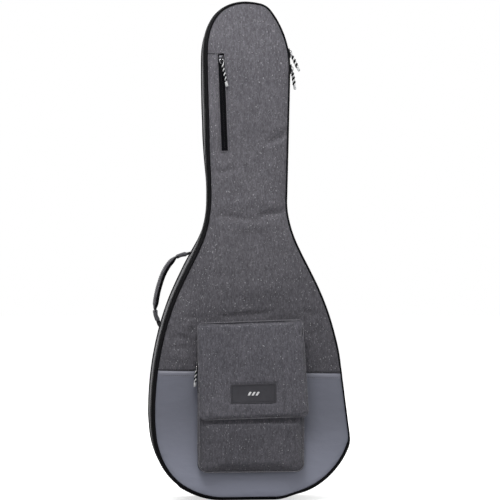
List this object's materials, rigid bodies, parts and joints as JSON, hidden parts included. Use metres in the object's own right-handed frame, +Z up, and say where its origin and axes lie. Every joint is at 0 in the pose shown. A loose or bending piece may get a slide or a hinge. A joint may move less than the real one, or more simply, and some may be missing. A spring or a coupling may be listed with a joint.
{
  "type": "padded guitar gig bag",
  "caption": "Padded soft gig bag for an acoustic guitar: hinged front lid with perimeter zip, flap pocket, neck pocket, side handle, rear grab handle and backpack straps.",
  "frame": {"origin": "middle of the base bumper's resting face, under the bag's mid-depth", "axes": "+X to the right seen from the front, +Y from the front lid to the back panel, +Z up"},
  "size_m": [0.4568, 0.2347, 1.1271],
  "materials": {
    "heather_fabric": "woven heather polyester",
    "coated_fabric": "smooth coated fabric, satin",
    "side_fabric": "woven polyester",
    "foam": "closed-cell foam padding",
    "lining": "brushed tricot lining",
    "piping": "black cord piping",
    "zip_tape": "black woven zip tape",
    "zip_coil": "black nylon coil",
    "base_rubber": "moulded rubber",
    "webbing": "black woven webbing",
    "badge": "moulded rubber, satin",
    "hook_loop": "hook-and-loop tape",
    "slider_metal": "black nickel",
    "pull_cord": "black and white cord, moulded end",
    "guard": "reinforcing patch",
    "hardware": "black painted metal",
    "buckle": "moulded acetal",
    "mesh": "padded strap"
  },
  "bodies": {
    "rear_shell": {"back_panel_fabric": "side_fabric", "back_panel_foam": "foam", "back_panel_lining": "lining", "gusset_fabric": "side_fabric", "gusset_foam": "foam", "gusset_lining": "lining", "back_piping": "piping", "rear_zip_tape": "zip_tape", "rear_zip_coil": "zip_coil", "spine_strip": "side_fabric", "base_bumper": "base_rubber", "neck_cradle": "lining", "neck_strap": "webbing", "tail_block": "lining", "strap_yoke": "side_fabric", "strap_base_tabs": "webbing", "side_handle_tabs": "webbing", "rear_handle_tabs": "webbing", "hang_loop": "webbing"},
    "front_lid": {"front_panel_fabric": "heather_fabric", "front_lower_panel": "coated_fabric", "front_foam": "foam", "front_lining": "lining", "front_piping": "piping", "front_zip_tape": "zip_tape", "front_zip_coil": "zip_coil", "bridge_guard_patch": "guard", "neck_pocket_liner": "lining", "neck_zip_tape": "zip_tape", "neck_zip_coil": "zip_coil", "pocket_gusset": "heather_fabric", "pocket_face": "heather_fabric", "pocket_zip_tape": "zip_tape", "pocket_zip_coil": "zip_coil", "pocket_loop_strip": "hook_loop"},
    "pocket_flap": {"flap_panel": "heather_fabric", "flap_badge": "badge", "flap_hook_strip": "hook_loop"},
    "lower_slider": {"main_slider_lower": "slider_metal"},
    "lower_pull": {"main_pull_lower": "pull_cord"},
    "upper_slider": {"main_slider_upper": "slider_metal"},
    "upper_pull": {"main_pull_upper": "pull_cord"},
    "neck_zip_slider": {"neck_slider": "slider_metal"},
    "neck_zip_pull": {"neck_pull": "pull_cord"},
    "pocket_zip_slider": {"pocket_slider": "slider_metal"},
    "pocket_zip_pull": {"pocket_pull": "pull_cord"},
    "side_handle": {"side_handle_grip": "heather_fabric", "side_handle_webbing": "webbing"},
    "rear_handle": {"rear_grab_handle": "webbing"},
    "strap_left": {"strap_left_pad": "mesh", "strap_left_webbing": "webbing", "ladder_lock_left": "buckle"},
    "strap_right": {"strap_right_pad": "mesh", "strap_right_webbing": "webbing", "ladder_lock_right": "buckle"},
    "hook_left": {"snap_hook_left": "hardware"},
    "hook_right": {"snap_hook_right": "hardware"},
    "ring_left": {"d_ring_left": "hardware"},
    "ring_right": {"d_ring_right": "hardware"}
  },
  "joints": [
    {"name": "lid_hinge", "type": "hinge", "parent": "rear_shell", "child": "front_lid", "pos_m": [0.21784, -0.06, 0.2338], "axis": [-0.1282, 0, 0.9917], "range_deg": [0, 165]},
    {"name": "flap_hinge", "type": "hinge", "parent": "front_lid", "child": "pocket_flap", "pos_m": [-0.0081, -0.081, 0.403], "axis": [-0.9994, 0, -0.0333], "range_deg": [0, 85]},
    {"name": "lower_slider_slide", "type": "slide", "parent": "rear_shell", "child": "lower_slider", "axis": [-0.0247, 0, -0.9997], "range_m": [0, 0.26]},
    {"name": "lower_pull_hinge", "type": "hinge", "parent": "lower_slider", "child": "lower_pull", "pos_m": [0.09361, -0.06, 0.97181], "axis": [0, -1, 0], "range_deg": [0, 90]},
    {"name": "upper_slider_slide", "type": "hinge", "parent": "rear_shell", "child": "upper_slider", "pos_m": [-0.1247, -0.06, 0.9727], "axis": [0, -1, 0], "range_deg": [0, 24]},
    {"name": "upper_pull_hinge", "type": "hinge", "parent": "upper_slider", "child": "upper_pull", "pos_m": [0.0906, -0.06, 1.00834], "axis": [0, -1, 0], "range_deg": [0, 80]},
    {"name": "neck_slider_slide", "type": "slide", "parent": "front_lid", "child": "neck_zip_slider", "axis": [0.0396, 0, -0.9992], "range_m": [0, 0.18]},
    {"name": "neck_pull_hinge", "type": "hinge", "parent": "neck_zip_slider", "child": "neck_zip_pull", "pos_m": [-0.06889, -0.08515, 0.99031], "axis": [-0.9992, 0, -0.0396], "range_deg": [0, 90]},
    {"name": "pocket_slider_slide", "type": "slide", "parent": "front_lid", "child": "pocket_zip_slider", "axis": [0, 0, 1], "range_m": [0, 0.06]},
    {"name": "pocket_pull_hinge", "type": "hinge", "parent": "pocket_zip_slider", "child": "pocket_zip_pull", "pos_m": [-0.12565, -0.096, 0.306], "axis": [0, 1, 0], "range_deg": [0, 80]},
    {"name": "side_handle_swing", "type": "hinge", "parent": "rear_shell", "child": "side_handle", "pos_m": [-0.17075, 0.015, 0.4795], "axis": [0.403, 0, 0.9152], "range_deg": [-40, 40], "stiffness_Nm_per_rad": 0.3},
    {"name": "rear_handle_swing", "type": "hinge", "parent": "rear_shell", "child": "rear_handle", "pos_m": [-0.007, 0.089, 0.807], "axis": [0, 0, 1], "range_deg": [-50, 50], "stiffness_Nm_per_rad": 0.1},
    {"name": "strap_left_swing", "type": "hinge", "parent": "rear_shell", "child": "strap_left", "pos_m": [-0.04, 0.0834, 0.634], "axis": [1, 0, 0], "range_deg": [0, 60]},
    {"name": "strap_right_swing", "type": "hinge", "parent": "rear_shell", "child": "strap_right", "pos_m": [0.026, 0.0834, 0.634], "axis": [1, 0, 0], "range_deg": [0, 60]},
    {"name": "hook_left_swivel", "type": "hinge", "parent": "strap_left", "child": "hook_left", "pos_m": [-0.146, 0.09433, 0.16442], "axis": [0.2217, 0.0715, 0.9725], "range_deg": [-22, 22]},
    {"name": "hook_right_swivel", "type": "hinge", "parent": "strap_right", "child": "hook_right", "pos_m": [0.146, 0.09433, 0.16442], "axis": [-0.2768, 0.0704, 0.9583], "range_deg": [-22, 22]},
    {"name": "ring_left_rock", "type": "hinge", "parent": "rear_shell", "child": "ring_left", "pos_m": [-0.146, 0.084, 0.145], "axis": [1, 0, 0], "range_deg": [-3, 3], "stiffness_Nm_per_rad": 0.01},
    {"name": "ring_right_rock", "type": "hinge", "parent": "rear_shell", "child": "ring_right", "pos_m": [0.146, 0.084, 0.145], "axis": [1, 0, 0], "range_deg": [-3, 3], "stiffness_Nm_per_rad": 0.01}
  ]
}
